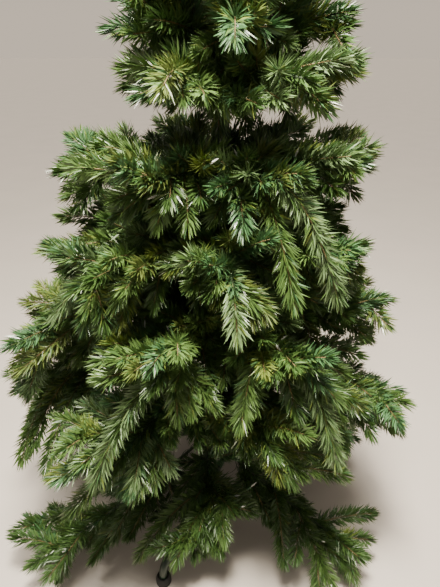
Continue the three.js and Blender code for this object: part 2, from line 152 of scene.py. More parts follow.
# How sprays leave their wire. Turn is to the side and lift upward, in degrees, onward and upward are bends as
# shares of the length, and margin keeps them off the edges of their space.
TWIGS = {"turn": [-6, 6], "lift": [-4, 4], "onward": 0.1, "upward": [-0.12, 0], "margin": 0.012}
SIDE_SPRAYS = {
    "turn": [30, 52], "lift": [-32, 32], "onward": 0.14, "upward": [-0.16, 0.04], "length": [0.08, 0.13],
    "margin": 0.014,
}
ARM_SPRAYS = {  # their turn is a share of the whorl's spread
    "turn": [0.4, 1.35], "lift": [-55, 55], "onward": 0.16, "upward": [-0.2, 0.04], "length": [0.12, 0.175],
    "margin": 0.014,
}
INNER_SPRAYS = {"turn": [40, 95], "lift": [-60, 60], "length": [0.07, 0.12], "margin": 0.004}
LEADER_SPRAYS = {"lift": [-8, 8], "upward": [-0.1, 0.1], "margin": 0.012}
SIDE_SPRAY_PLACES = [0.2, 0.4, 0.6, 0.8]
ARM_SPRAY_SPACING = 0.017
ARM_SPRAY_JITTER = [0.3, 0.7]  # shares of the spacing
ARM_SPRAY_END = 0.98
ARM_SPRAY_SCALES = [0.5, 1.8]  # for a reach of nothing and of a metre, but never over 1
INNER_SPRAY_STARTS = [0.0, 0.06]  # past the bare root
INNER_SPRAY_PLACE = 0.1  # where along the arm they take its direction
INNER_SPRAY_RISE = 0.05
INNER_SPRAY_COUNTS = dict(zip(WHORLS, [4, 6, 6, 6, 6, 8, 8, 8]))
LEADER_POINTS = 14
LEADER_SPRAY_COUNT = 30
LEADER_SPRAY_PLACES = [0.02, 0.72]
LEADER_CLIMBS = [24, 62]  # degrees
LEADER_SPRAY_LENGTHS = [0.165, 0.099]

# Greens of needles, with the share of the sprays that have each, in the tree and in its lowest whorl.
# In the lowest whorl the shares lean to the deep green and leave out the yellow and pale ones: painted shade
# under the whorls above.
NEEDLE_COLOURS = {
    "deep": [(0.041, 0.086, 0.019), 0.28, 0.58],
    "leaf": [(0.074, 0.134, 0.032), 0.36, 0.28],
    "cool": [(0.048, 0.114, 0.042), 0.17, 0.1],
    "olive": [(0.092, 0.124, 0.028), 0.07, 0.04],
    "yellow": [(0.14, 0.188, 0.034), 0.05, 0.0],
    # pale: lighter needles that stand in for the glints on the film, a painted highlight
    "pale": [(0.124, 0.194, 0.08), 0.07, 0.0],
}
COLOUR_NAMES = list(NEEDLE_COLOURS)
COLOUR_SHARES = [share for _, share, _ in NEEDLE_COLOURS.values()]
PAINTED_SHADE_COLOUR_SHARES = [share for _, _, share in NEEDLE_COLOURS.values()]
OWN_COLOUR_SHARE = 0.7
YOUNG_SPRAY_SHARE = 0.14  # sprays whose inner half is yellow green
YOUNG_NEEDLES = [1.2, -1.0]  # their chance to be yellow green, from the root to the tip

# Sprays in front of the rest or across gaps: the whorl, the arm and the place along it that each leaves, the
# azimuth, distance from the pole and height of its end, and its green. The pale ones, out in front, are
# painted highlight; the deep ones, low down and inside the crown, are painted shade.
PLACED_SPRAYS = [
    ("e", 3, 0.1, 11, 0.211, 1.02, "cool"),
    ("d", 2, 0.35, -34, 0.215, 0.855, "deep"),
    ("d", 3, 0.3, -25, 0.2, 0.93, "yellow"),
    ("d", 3, 0.25, -16, 0.155, 0.895, "cool"),
    ("c", 2, 0.4, -50, 0.215, 0.82, "leaf"),
    ("c", 1, 0.3, -68, 0.2, 0.785, "deep"),
    ("d", 3, 0.55, 7, 0.3, 0.86, "pale"),
    ("d", 3, 0.35, -11, 0.22, 0.95, "leaf"),
    ("d", 2, 0.6, -57, 0.365, 0.845, "pale"),
    ("d", 2, 0.4, -40, 0.29, 0.88, "leaf"),
    ("e", 3, 0.5, 29, 0.28, 0.895, "leaf"),
    ("e", 3, 0.85, 42, 0.32, 0.9, "pale"),
    ("c", 2, 0.8, -34, 0.408, 0.533, "pale"),
    ("c", 2, 0.6, -12, 0.31, 0.825, "leaf"),
    ("c", 2, 0.6, -21, 0.315, 0.79, "cool"),
    ("c", 3, 0.45, 11, 0.3, 0.65, "leaf"),
    ("c", 3, 0.7, 40, 0.4, 0.555, "pale"),
    ("b", 4, 0.6, 67, 0.47, 0.52, "leaf"),
    ("b", 1, 0.75, -68, 0.49, 0.415, "leaf"),
    ("b", 1, 0.65, -69, 0.465, 0.43, "deep"),
    ("b", 1, 0.55, -62, 0.44, 0.415, "deep"),
    ("b", 2, 0.7, -55, 0.39, 0.415, "leaf"),
    ("f", 1, 0.6, -25, 0.225, 1.235, "olive"),
    ("f", 1, 0.05, -14, 0.036, 1.15, "deep"),
    ("f", 2, 0.05, 80, 0.046, 1.15, "deep"),
    ("f", 3, 0.45, 100, 0.135, 1.16, "deep"),
    ("f", 4, 0.55, -178, 0.2, 1.14, "leaf"),
    ("e", 5, 0.55, 165, 0.205, 1.15, "leaf"),
    ("e", 6, 0.55, -170, 0.19, 1.145, "deep"),
    ("g", 2, 0.5, 2, 0.215, 1.3, "cool"),
    ("a", 1, 0.35, -46, 0.33, 0.17, "deep"),
    ("a", 2, 0.5, -31, 0.32, 0.165, "leaf"),
    ("a", 2, 0.6, -14, 0.3, 0.165, "leaf"),
    ("a", 2, 0.4, 36, 0.205, 0.205, "deep"),
    ("a", 3, 0.45, 38, 0.335, 0.115, "deep"),
    ("b", 1, 0.25, -80, 0.16, 0.39, "deep"),
    ("b", 2, 0.25, -42, 0.15, 0.385, "deep"),
    ("b", 4, 0.25, 92, 0.155, 0.39, "deep"),
    ("b", 5, 0.25, 140, 0.16, 0.38, "deep"),
    ("b", 6, 0.25, -150, 0.16, 0.38, "deep"),
    ("a", 2, 0.1, -25, 0.075, 0.375, "deep"),
    ("a", 4, 0.1, 110, 0.08, 0.37, "deep"),
    ("a", 5, 0.1, 178, 0.08, 0.365, "deep"),
    ("a", 6, 0.1, -110, 0.075, 0.375, "deep"),
]
PLACED_SPRAY_ARCH = 0.16  # share of its length by which its middle stands over a straight line
PLACED_SPRAY_POINTS = 9

# Open spaces over the lowest whorl, where no spray ends: ranges of azimuth, distance from the pole and height
OPEN_SPACES = [
    [(-100, -40), (0.3, 0.56), (0.15, 0.4)],
    [(25, 75), (0.24, 0.45), (0.165, 0.46)],
    [(75, 110), (0.24, 0.5), (0.15, 0.4)],
]

# Lamps and their leads
LAMPS_PER_ARM = dict(zip(WHORLS, [4, 4, 4, 3, 3, 2, 2, 1]))
LAMPS_ON_TOP = 5
LAMP_PLACES = [0.1, 0.75]
LAMP_TURN = [-0.4, 0.4]  # half turns
LAMP_LEAN = [0.1, 0.9]
LAMP_STANDOFF = 0.006
SOCKET_OUTLINE = [
    (0, 0), (0.0022, 0), (0.0028, 0.001), (0.0029, 0.008), (0.0035, 0.009), (0.0035, 0.0125), (0, 0.0125)
]
GLASS_OUTLINE = [
    (0, 0.012), (0.0014, 0.012), (0.0018, 0.015), (0.0018, 0.024), (0.0013, 0.028), (0.0005, 0.031),
    (0, 0.032),
]
LEAD_RADIUS = 0.0009
LEAD_STANDOFF = 0.0075
LEAD_PITCH = 0.075
LEAD_STEPS = 12  # to a turn
LEAD_FIRST_TURN = [0, 6]  # radians
HANGING_LEAD_SAG = [0.03, 0.06]
HANGING_LEAD_POINTS = 16
POLE_LEAD_Z = [0.33, 1.405]
POLE_LEAD_STEP = 0.01
POLE_LEAD_RADIUS = 0.00117
POLE_LEAD_STANDOFF = 0.0235
POLE_LEAD_SWAY = 0.004
POLE_LEAD_SWAYS = 23  # radians to the metre
POLE_LEAD_PITCH = 0.21

# Lamps that hang clear of the needles: the whorl, the arm and the place along it that their lead leaves, then
# the azimuth, distance from the pole and height of the socket's end and of the glass's tip
PLACED_LAMPS = [
    ("a", 3, 0.12, (33.9, 0.189, 0.265), (46.7, 0.195, 0.275)),
    ("b", 4, 0.25, (56.2, 0.201, 0.36), (46.1, 0.203, 0.335)),
    ("e", 3, 0.2, (-10.4, 0.181, 1.115), (-4.8, 0.169, 1.125)),
]
PLACED_LEAD_SAG = 0.015

# The hinges of the arms: two ears, and a pin with a head at either end
HINGE_REACH = 0.01  # from the pole's skin
EAR_OUTLINE = [
    (-0.009, -0.009), (0.004, -0.009), (0.009, -0.005), (0.009, 0.005), (0.004, 0.009), (-0.009, 0.009)
]
EAR_THICKNESS = 0.0014
EAR_GAP = 0.0012  # between the arm's wire and an ear's middle
PLATE_FACE = 0.94  # share of its outline
PLATE_FLANK = 0.6  # share of its thickness
PIN_REACH = 0.0035  # from the ears' middle
PIN_RADII = [0.0026, 0.0016]
PIN_HEAD = [0.0016, 0.003]  # from where to where a head stands past an ear's middle

# The stand's small parts. A shank or sleeve is pairs of a distance from the pole's axis and a radius.
FIT = 0.0004  # round the pole in its cup, and the legs in their feet
CUP_FLOOR_GAP = 0.0006
CUP_EDGE = 0.0015
BOLT_COUNT = 3
BOLT_TURN = 45  # degrees from the first leg
BOLT_DROP = 0.022
BOLT_SHANK = [
    (0.013, 0.003), (0.0186, 0.003), (0.0187, 0.0055), (0.0245, 0.0055), (0.0246, 0.003), (0.04, 0.003)
]
EYE_REACH = 0.0475
EYE_RADIUS = 0.0075
EYE_WIRE_RADIUS = 0.0022
EYE_ARC = [-172, 165]
LEG_SLEEVE = [(0.0345, 0.0128), (0.0355, 0.0138), (0.0505, 0.0138), (0.0515, 0.0128)]
HEAD_OUTLINE = [
    (0, 0.0134), (0.0052, 0.0134), (0.0056, 0.0142), (0.0056, 0.0172), (0.0047, 0.018), (0, 0.018)
]
HEAD_REACH = 0.043

# Colours of the wires, the enamel, the stand and the lamps
TWIG_COLOUR = (0.17, 0.118, 0.048)
BOUGH_COLOUR = (0.03, 0.045, 0.022)
POLE_COLOUR = (0.012, 0.034, 0.016)
STAND_COLOUR = (0.01, 0.026, 0.013)
RUBBER_COLOUR = (0.016, 0.016, 0.015)
LAMP_SOCKET_COLOUR = (0.03, 0.09, 0.03)
LEAD_COLOUR = (0.012, 0.04, 0.014)
# The glass's near-white is a painted highlight that stands in for its glints
GLASS_GLINT_COLOUR = (0.8, 0.81, 0.76)

# The camera stands where the photo was taken from, and looks down
CAMERA_PLACE = (0.039, -0.91, 1.3)
CAMERA_PITCH = 30
CAMERA_LENS = 27.05

# The studio's floor
FLOOR_COLOUR = (0.47, 0.42, 0.37)
FLOOR_RADIUS = 40
FLOOR_THICKNESS = 0.02

# The seed, and what keeps these parts' draws off those of the arms
SEED = 11
PLACED_DRAWS = 98
LEADER_DRAWS = 99
LIGHTS_DRAWS = 100


def arm_azimuths(whorl):
    return [whorl["first"] + 360 * i / whorl["arms"] for i in range(whorl["arms"])]


def radial(azimuth):
    angle = math.radians(azimuth)
    return np.array([math.sin(angle), -math.cos(angle), 0.0])


def place_at(azimuth, radius, height):
    return radial(azimuth) * radius + UP * height


def unit(vectors):
    return vectors / np.maximum(np.linalg.norm(vectors, axis=-1, keepdims=True), 1e-12)


def between(start, end, share):
    return start + (end - start) * share


def turned_about(vector, axis, degrees):
    angle = math.radians(degrees)
    along = axis * np.dot(axis, vector) * (1 - math.cos(angle))
    return vector * math.cos(angle) + np.cross(axis, vector) * math.sin(angle) + along


def leaned(points):
    """Moves points sideways by their height, as the pole leans"""
    points = np.array(points, float)
    points[..., 0] += LEAN * np.maximum(0, points[..., 2] - LEAN_FROM)
    return points


# The space that the arms have, by the same rule as in the part's source


def reach_at(whorl, azimuth):
    frontness = max(0.0, math.cos(math.radians(azimuth))) ** 4
    leftness = -math.sin(math.radians(azimuth))
    return whorl["reach"] * (1 - whorl["front"] * frontness) * (1 + whorl["left"] * leftness)


def arm_height(whorl, radius):
    share = (radius - ARM_FOOT) / whorl["reach"]
    return whorl["height"] + whorl["reach"] * share * (whorl["rise"] - whorl["droop"] * share)


def layer_of(name, radius):
    names = list(WHORLS)
    index = names.index(name)
    whorl = WHORLS[name]
    middle = arm_height(whorl, radius)
    low = max(middle - whorl["below"], FLOOR_MARGIN)
    high = middle + whorl["above"]
    if index > 0:
        under = arm_height(WHORLS[names[index - 1]], radius)
        low = max(low, (under + middle) / 2 + SPACE_MARGIN)
    if index < len(names) - 1:
        over = arm_height(WHORLS[names[index + 1]], radius)
        high = min(high, (over + middle) / 2 - SPACE_MARGIN)
    return low, high


def pole_radius_at(z):
    return POLE_RADII[min(sum(z > top for top in SECTION_TOPS), len(POLE_RADII) - 1)]


def in_open_space(place):
    return any(all(low < part < high for part, (low, high) in zip(place, space)) for space in OPEN_SPACES)


def arm_space(name, azimuth):
    """A test for a point: inside this arm's sector, its reach and its layer, by a margin"""
    whorl = WHORLS[name]

    def inside(point, margin):
        radius = math.hypot(point[0], point[1])
        point_azimuth = math.degrees(math.atan2(point[0], -point[1]))
        turn = (point_azimuth - azimuth + 180) % 360 - 180
        to_edge = radius * math.sin(math.radians(180 / whorl["arms"] - abs(turn)))
        low, high = layer_of(name, radius)
        return (
            to_edge > margin - SECTOR_OVERLAP
            and radius + margin + REACH_MARGIN < reach_at(whorl, point_azimuth)
            and radius > pole_radius_at(point[2]) + COLLAR_GROWTH + margin
            and max(low - LAYER_OVERLAP, FLOOR_MARGIN) + margin < point[2] < high + LAYER_OVERLAP - margin
            and not in_open_space((point_azimuth, radius, point[2]))
        )

    return inside


def leader_space(point, margin):
    radius = math.hypot(point[0], point[1])
    highest = WHORLS["h"]
    floor = max(arm_height(highest, radius) + highest["above"] + SPACE_MARGIN, POLE_TOP_Z)
    share = (TREE_HEIGHT - point[2]) / (TREE_HEIGHT - POLE_TOP_Z)
    room = between(LEADER_TIP_RADIUS, LEADER_RADIUS, share * LEADER_FULLNESS)
    return point[2] > floor + margin and radius + margin < room and point[2] + margin < TREE_HEIGHT


# Meshes from arrays


class MeshParts:
    """Gathers the corners, triangles and material slots of one object"""

    def __init__(self):
        self.parts = []

    def add(self, vertices, triangles, slots=0):
        self.parts.append((vertices, triangles, np.broadcast_to(slots, len(triangles))))

    def add_leaned(self, vertices, triangles, slots=0):
        self.add(leaned(vertices), triangles, slots)

    def build(self, name, materials, smooth):
        all_vertices, all_triangles, all_slots = zip(*self.parts)
        starts = np.cumsum([0] + [len(vertices) for vertices in all_vertices[:-1]])
        vertices = np.concatenate(all_vertices).astype(np.float32)
        triangles = [part + start for part, start in zip(all_triangles, starts)]
        triangles = np.concatenate(triangles).astype(np.int32)
        slots = np.concatenate(all_slots).astype(np.int32)
        total = len(triangles)
        mesh = bpy.data.meshes.new(name)
        mesh.vertices.add(len(vertices))
        mesh.vertices.foreach_set("co", vertices.ravel())
        mesh.loops.add(total * 3)
        mesh.loops.foreach_set("vertex_index", triangles.ravel())
        mesh.polygons.add(total)
        mesh.polygons.foreach_set("loop_start", np.arange(0, total * 3, 3, dtype=np.int32))
        mesh.polygons.foreach_set("use_smooth", np.full(total, smooth))
        for material in materials:
            mesh.materials.append(material)
        mesh.polygons.foreach_set("material_index", slots)
        mesh.update(calc_edges=True)
        piece = bpy.data.objects.new(name, mesh)
        bpy.context.scene.collection.objects.link(piece)
        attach(piece, "root")
        return piece


def ring_skin(rings, first_end, last_end):
    """A closed skin over rings of corners, one row each, with a middle point at either end"""
    count, sides = rings.shape[:2]
    i, k = np.meshgrid(np.arange(count - 1), np.arange(sides), indexing="ij")
    a = i * sides + k
    b = i * sides + (k + 1) % sides
    walls = [np.stack([a, b, b + sides], -1), np.stack([a, b + sides, a + sides], -1)]
    k = np.arange(sides)
    following = (k + 1) % sides
    base = (count - 1) * sides
    end_index = count * sides
    caps = [
        np.stack([following, k, np.full(sides, end_index)], -1),
        np.stack([base + k, base + following, np.full(sides, end_index + 1)], -1),
    ]
    triangles = np.concatenate([part.reshape(-1, 3) for part in walls + caps])
    vertices = np.concatenate([rings.reshape(-1, 3), [first_end], [last_end]])
    return vertices, triangles


def distances_along(path):
    steps = np.linalg.norm(np.diff(path, axis=0), axis=1)
    return np.concatenate([[0], np.cumsum(steps)])


def frames_along(path):
    """Directions along a path and two directions square to it, which turn as little as they can"""
    tangents = unit(np.gradient(path, axis=0))
    side = np.cross(tangents[0], UP)
    if np.linalg.norm(side) < NEARLY_UPRIGHT:
        side = RIGHT
    sides = []
    for tangent in tangents:
        side = unit(side - tangent * np.dot(side, tangent))
        sides.append(side)
    sides = np.array(sides)
    return tangents, sides, np.cross(sides, tangents)


def tilted(start, towards, angles):
    """Directions turned from one to another that is square to it, by angles in radians, one row each"""
    return np.cos(angles)[:, None] * start + np.sin(angles)[:, None] * towards


def shares(points):
    """Even shares of a path's length, one row each"""
    return np.linspace(0, 1, points)[:, None]


def arch(s):
    """The height of an arch over its span: 1 in the middle, 0 at both ends"""
    return 4 * s * (1 - s)


def tube(path, radii, sides, lobes=0.0):
    """A round tube along a path. With lobes it looks like two wires twisted together."""
    path = np.array(path, float)
    radii = np.broadcast_to(radii, len(path))[:, None]
    _, across, upward = frames_along(path)
    angles = -np.linspace(0, 2 * np.pi, sides, endpoint=False)[None, :]
    twist = 2 * np.pi * distances_along(path)[:, None] / TWIST_PITCH
    radii = radii * (1 + lobes * np.cos(2 * (angles - twist)))
    ring = np.cos(angles)[..., None] * across[:, None] + np.sin(angles)[..., None] * upward[:, None]
    return ring_skin(path[:, None] + ring * radii[..., None], path[0], path[-1])


def turned(outline, sides):
    """A solid turned about Z from an outline of (radius, height) that starts and ends on the axis"""
    outline = np.array(outline, float)
    angles = np.linspace(0, 2 * np.pi, sides, endpoint=False)
    inner = outline[1:-1]
    x = inner[:, 0, None] * np.cos(angles)
    y = inner[:, 0, None] * np.sin(angles)
    z = np.broadcast_to(inner[:, 1, None], x.shape)
    return ring_skin(np.stack([x, y, z], -1), [0, 0, outline[0, 1]], [0, 0, outline[-1, 1]])


def turned_along(outline, base, heading, sides):
    """A turned solid whose axis points along a heading from its base"""
    vertices, triangles = turned(outline, sides)
    side = unit(np.cross(heading, RIGHT if abs(heading[2]) > STEEP else UP))
    other = np.cross(heading, side)
    placed = base + vertices[:, :1] * side + vertices[:, 1:2] * other + vertices[:, 2:] * heading
    return placed, triangles


def plate(outline, middle, across, upward, thickness):
    """A flat plate with a convex outline, given across and upward from its middle"""
    outline = np.array(outline, float)
    flat = outline[:, :1] * across + outline[:, 1:] * upward
    half = unit(np.cross(across, upward)) * thickness / 2
    inset = flat * PLATE_FACE
    flank = half * PLATE_FLANK
    rings = middle + np.stack([inset - half, flat - flank, flat + flank, inset + half])
    return ring_skin(rings, middle - half, middle + half)


# Sprays of needles


def values_along(path_along, values, at):
    return np.stack([np.interp(at, path_along, values[:, i]) for i in range(3)], -1)


def needles_along(path, rng, first):
    """Flat needles round a wire, folded a little in the middle, and how far along it each stands"""
    along = distances_along(path)
    length = along[-1]
    count = max(FEWEST_NEEDLES, int(length * (1 - first) * NEEDLES_PER_METRE))
    s = first + (1 - first) * (np.arange(count) + rng.random(count)) / count
    at = s * length
    tangents, across, _ = frames_along(path)
    root = values_along(along, path, at)
    tangent = unit(values_along(along, tangents, at))
    side = unit(values_along(along, across, at))
    over = np.cross(side, tangent) * SPRAY_FLATNESS
    outward = unit(tilted(side, over, rng.random(count) * 2 * np.pi))
    tuft = np.clip(1 - (length - at) / TUFT_LENGTH, 0, 1)
    lean = between(*NEEDLE_LEAN, s) + rng.normal(0, NEEDLE_LEAN_SCATTER, count)
    lean = np.radians(lean * (1 - TUFT_CLOSING * tuft))
    size = between(*NEEDLE_LENGTHS, rng.random(count)) * (1 - TUFT_SHORTENING * tuft)
    bend = np.radians(NEEDLE_BEND + rng.normal(0, NEEDLE_BEND_SCATTER, count))
    inner = tilted(tangent, outward, lean)
    middle = root + inner * (NEEDLE_SHOULDER * size)[:, None]
    tip = middle + tilted(tangent, outward, lean - bend) * ((1 - NEEDLE_SHOULDER) * size)[:, None]
    flat = unit(np.cross(inner, tangent))
    flat = tilted(flat, np.cross(inner, flat), np.pi / 4 + rng.normal(0, NEEDLE_ROLL_SCATTER, count))
    half = between(*NEEDLE_WIDTHS, rng.random(count))[:, None] / 2
    corners = [root, middle + flat * half, tip, middle - flat * half]
    vertices = np.stack(corners, 1).reshape(-1, 3)
    pattern = np.array([[0, 1, 2], [0, 2, 3]])
    triangles = (np.arange(count)[:, None, None] * len(corners) + pattern).reshape(-1, 3)
    return vertices, triangles, s


def needle_slots(s, colour_shares, rng, colour=None):
    """Most needles of a spray have its own colour. A young spray's inner ones are yellow green."""
    count = len(s)
    own = rng.choice(len(COLOUR_NAMES), p=colour_shares) if colour is None else COLOUR_NAMES.index(colour)
    others = rng.choice(len(COLOUR_NAMES), count, p=colour_shares)
    slots = np.where(rng.random(count) < OWN_COLOUR_SHARE, own, others)
    if rng.random() < YOUNG_SPRAY_SHARE:
        young = rng.random(count) < between(*YOUNG_NEEDLES, s)
        slots = np.where(young, COLOUR_NAMES.index("yellow"), slots)
    return np.repeat(slots, 2)


class Arm:
    """An arm: its wire's path, its needles and twig wires, and the twigs that can bear lamps"""

    def __init__(self, node, path, bare_share, colour_shares=COLOUR_SHARES):
        self.node = node
        self.path = path
        self.bare_share = bare_share
        self.colour_shares = colour_shares
        self.needles = MeshParts()
        self.wires = MeshParts()
        self.twigs = []

    def add_needles(self, path, rng, first=0.0, colour=None):
        vertices, triangles, s = needles_along(path, rng, first)
        vertices[:, 2] = np.maximum(vertices[:, 2], LOWEST_NEEDLE)
        self.needles.add_leaned(vertices, triangles, needle_slots(s, self.colour_shares, rng, colour))

    def add_spray(self, path, rng, colour=None):
        """A spray along a path. One that fits nowhere has no path, and is left out."""
        if path is None:
            return
        self.add_needles(path, rng, colour=colour)
        self.wires.add_leaned(*tube(path, np.linspace(*SPRAY_RADII, len(path)), 3))
        self.twigs.append(path)


def fitted_path(start, heading, length, bend, space, margin):
    """A curved path, shortened until it lies in its space and its needles in the part's box, or nothing"""
    s = shares(SPRAY_POINTS)
    for share in SPRAY_SHARES:
        path = start + length * share * (s * heading + s * s * bend)
        end = leaned(path[-1]) + unit(path[-1] - path[-2]) * TUFT_ROOM
        in_box = np.all(end > CAD_BOX[0] - BOX_GROWTH) and np.all(end < CAD_BOX[1] + BOX_GROWTH)
        if in_box and space(path[len(path) // 2], margin) and space(path[-1], margin):
            return path
    return None


def side_heading(forward, turn, lift):
    heading = turned_about(forward, UP, turn)
    return turned_about(heading, unit(np.cross(heading, UP)), lift)


def drawn_heading(kind, forward, side, rng):
    """side is 1 or -1, times the spread where the kind's turn is a share of it"""
    turn = side * rng.uniform(*kind["turn"])
    return side_heading(forward, turn, rng.uniform(*kind["lift"]))


def drawn_bend(kind, forward, rng):
    return kind["onward"] * forward + UP * rng.uniform(*kind["upward"])


def add_side_sprays(arm, path, space, rng):
    forward = unit(path[-1] - path[0])
    for i, place in enumerate(SIDE_SPRAY_PLACES):
        on_chord = between(path[0], path[-1], place)
        start = between(path[round(place * (len(path) - 1))], on_chord, 0.5)
        heading = drawn_heading(SIDE_SPRAYS, forward, 1 if i % 2 else -1, rng)
        bend = drawn_bend(SIDE_SPRAYS, forward, rng)
        length = rng.uniform(*SIDE_SPRAYS["length"])
        arm.add_spray(fitted_path(start, heading, length, bend, space, SIDE_SPRAYS["margin"]), rng)


class Course:
    """The course of an arm's wire out of its collar"""

    def __init__(self, name, azimuth):
        self.whorl = WHORLS[name]
        self.azimuth = azimuth
        self.reach = reach_at(self.whorl, azimuth)
        self.root = pole_radius_at(self.whorl["height"]) + COLLAR_GROWTH
        self.end = self.reach * ARM_SHARE - TUFT_ROOM
        self.bare_end = self.root + BARE_ROOT
        self.twigs_from = self.root
        if name == BOUGH_WHORL:
            self.bare_end = self.twigs_from = self.reach * BOUGH_LENGTH

    def at_radius(self, radius):
        return place_at(self.azimuth, radius, arm_height(self.whorl, radius))

    def radius(self, t):
        return between(self.root, self.end, t)

    def forward(self, t):
        return unit(self.at_radius(self.radius(t) + FORWARD_STEP) - self.at_radius(self.radius(t)))


def add_twigs(arm, course, space, rng):
    """Twigs where the part's source has them, with side sprays"""
    whorl = course.whorl
    for i in range(whorl["twigs"]):
        t = between(*TWIG_PLACES, i / (whorl["twigs"] - 1))
        start = course.at_radius(between(course.twigs_from, course.reach * ARM_SHARE, t))
        side = 1 if i % 2 else -1
        turn = side * (whorl["spread"] + rng.uniform(*TWIGS["turn"]))
        lift = TWIG_LIFTS[i % len(TWIG_LIFTS)] + rng.uniform(*TWIGS["lift"])
        forward = course.forward(t)
        length = course.reach * between(*TWIG_LENGTHS, t) - TUFT_ROOM / 2
        bend = drawn_bend(TWIGS, forward, rng)
        path = fitted_path(start, side_heading(forward, turn, lift), length, bend, space, TWIGS["margin"])
        if path is not None:
            arm.add_spray(path, rng)
            add_side_sprays(arm, path, space, rng)


def add_arm_sprays(arm, course, space, rng):
    """Sprays on both sides of the arm's own wire"""
    count = int((course.end - course.bare_end) / ARM_SPRAY_SPACING)
    scale = min(1, between(*ARM_SPRAY_SCALES, course.reach))
    for i in range(count):
        t = between(arm.bare_share, ARM_SPRAY_END, (i + rng.uniform(*ARM_SPRAY_JITTER)) / count)
        forward = course.forward(t)
        side = -1 if i % 2 else 1
        heading = drawn_heading(ARM_SPRAYS, forward, side * course.whorl["spread"], rng)
        bend = drawn_bend(ARM_SPRAYS, forward, rng)
        length = rng.uniform(*ARM_SPRAYS["length"]) * scale
        start = course.at_radius(course.radius(t))
        arm.add_spray(fitted_path(start, heading, length, bend, space, ARM_SPRAYS["margin"]), rng)


def add_inner_sprays(arm, course, space, count, rng):
    """Short sprays that close the crown at the pole"""
    for i in range(count):
        start = course.at_radius(course.bare_end + rng.uniform(*INNER_SPRAY_STARTS))
        heading = drawn_heading(INNER_SPRAYS, course.forward(INNER_SPRAY_PLACE), 1 if i % 2 else -1, rng)
        length = rng.uniform(*INNER_SPRAYS["length"])
        path = fitted_path(start, heading, length, UP * INNER_SPRAY_RISE, space, INNER_SPRAYS["margin"])
        arm.add_spray(path, rng)


def grow_arm(name, number, azimuth, rng):
    course = Course(name, azimuth)
    radii = np.linspace(course.root, course.end, ARM_POINTS)
    path = np.array([course.at_radius(radius) for radius in radii])
    bare_share = (course.bare_end - course.root) / (course.end - course.root)
    # The lowest whorl takes the darker greens: painted shade
    colour_shares = PAINTED_SHADE_COLOUR_SHARES if name == BOUGH_WHORL else COLOUR_SHARES
    arm = Arm(f"foliage_{name}{number}", path, bare_share, colour_shares)
    arm.add_needles(path, rng, bare_share)
    space = arm_space(name, azimuth)
    add_twigs(arm, course, space, rng)
    add_arm_sprays(arm, course, space, rng)
    add_inner_sprays(arm, course, space, INNER_SPRAY_COUNTS[name], rng)
    return arm


def add_placed_sprays(whorls, rng):
    for name, number, place, *end, colour in PLACED_SPRAYS:
        arm = whorls[name][number - 1]
        start = arm.path[round(place * (len(arm.path) - 1))]
        end = place_at(*end)
        s = shares(PLACED_SPRAY_POINTS)
        rise = UP * PLACED_SPRAY_ARCH * np.linalg.norm(end - start) * arch(s)
        arm.add_spray(between(start, end, s) + rise, rng, colour)


def grow_leader(rng):
    path = np.linspace([0, 0, POLE_TOP_Z], [0, 0, TREE_HEIGHT - TUFT_ROOM], LEADER_POINTS)
    arm = Arm("foliage_top", path, 0.0)
    arm.add_needles(path, rng)
    for i, share in enumerate(np.linspace(0, 1, LEADER_SPRAY_COUNT)):
        start = UP * between(POLE_TOP_Z, TREE_HEIGHT, between(*LEADER_SPRAY_PLACES, share))
        climb = math.radians(between(*LEADER_CLIMBS, share) + rng.uniform(*LEADER_SPRAYS["lift"]))
        heading = place_at(i * GOLDEN_TURN, math.cos(climb), math.sin(climb))
        length = between(*LEADER_SPRAY_LENGTHS, share) - TUFT_ROOM / 3
        bend = UP * rng.uniform(*LEADER_SPRAYS["upward"])
        arm.add_spray(fitted_path(start, heading, length, bend, leader_space, LEADER_SPRAYS["margin"]), rng)
    return arm


# Lamps and their leads


def resampled(path, spacing):
    along = distances_along(path)
    at = np.linspace(0, along[-1], max(6, int(along[-1] / spacing)))
    return values_along(along, path, at), at


class Lights:
    """The lamps, in two materials, and the leads between them"""

    def __init__(self):
        self.sockets = MeshParts()
        self.glasses = MeshParts()
        self.leads = MeshParts()

    def add_lamp(self, base, heading):
        self.sockets.add_leaned(*turned_along(SOCKET_OUTLINE, base, heading, 8))
        self.glasses.add_leaned(*turned_along(GLASS_OUTLINE, base, heading, 8))

    def clip_lamps(self, arm, count, rng):
        """Lamps on some of an arm's twigs, which lean out of their needles"""
        for host in rng.permutation(len(arm.twigs))[:count]:
            path = arm.twigs[host]
            index = min(int(rng.uniform(*LAMP_PLACES) * (len(path) - 1)), len(path) - 2)
            tangents, across, upward = frames_along(path)
            over = upward[index] if upward[index][2] > 0 else -upward[index]
            turn = rng.uniform(*LAMP_TURN) * math.pi
            outward = math.cos(turn) * over + math.sin(turn) * across[index]
            heading = unit(outward + tangents[index] * rng.uniform(*LAMP_LEAN))
            self.add_lamp(path[index] + outward * LAMP_STANDOFF, heading)

    def wind_lead(self, path, first_turn):
        route, at = resampled(path, LEAD_PITCH / LEAD_STEPS)
        _, across, upward = frames_along(route)
        route = route + LEAD_STANDOFF * tilted(across, upward, first_turn + 2 * math.pi * at / LEAD_PITCH)
        self.leads.add_leaned(*tube(route, LEAD_RADIUS, 4))

    def hang_lead(self, start, end, sag):
        s = shares(HANGING_LEAD_POINTS)
        route = between(start, end, s) - UP * sag * arch(s)
        self.leads.add_leaned(*tube(route, LEAD_RADIUS, 4))

    def wind_pole(self):
        """A thicker lead up the pole, now nearer to it and now further off"""
        route, at = resampled(np.outer(POLE_LEAD_Z, UP), POLE_LEAD_STEP)
        away = POLE_LEAD_STANDOFF + POLE_LEAD_SWAY * np.sin(at * POLE_LEAD_SWAYS)
        around = tilted(RIGHT, np.cross(UP, RIGHT), 2 * math.pi * at / POLE_LEAD_PITCH)
        self.leads.add_leaned(*tube(route + around * away[:, None], POLE_LEAD_RADIUS, 5))


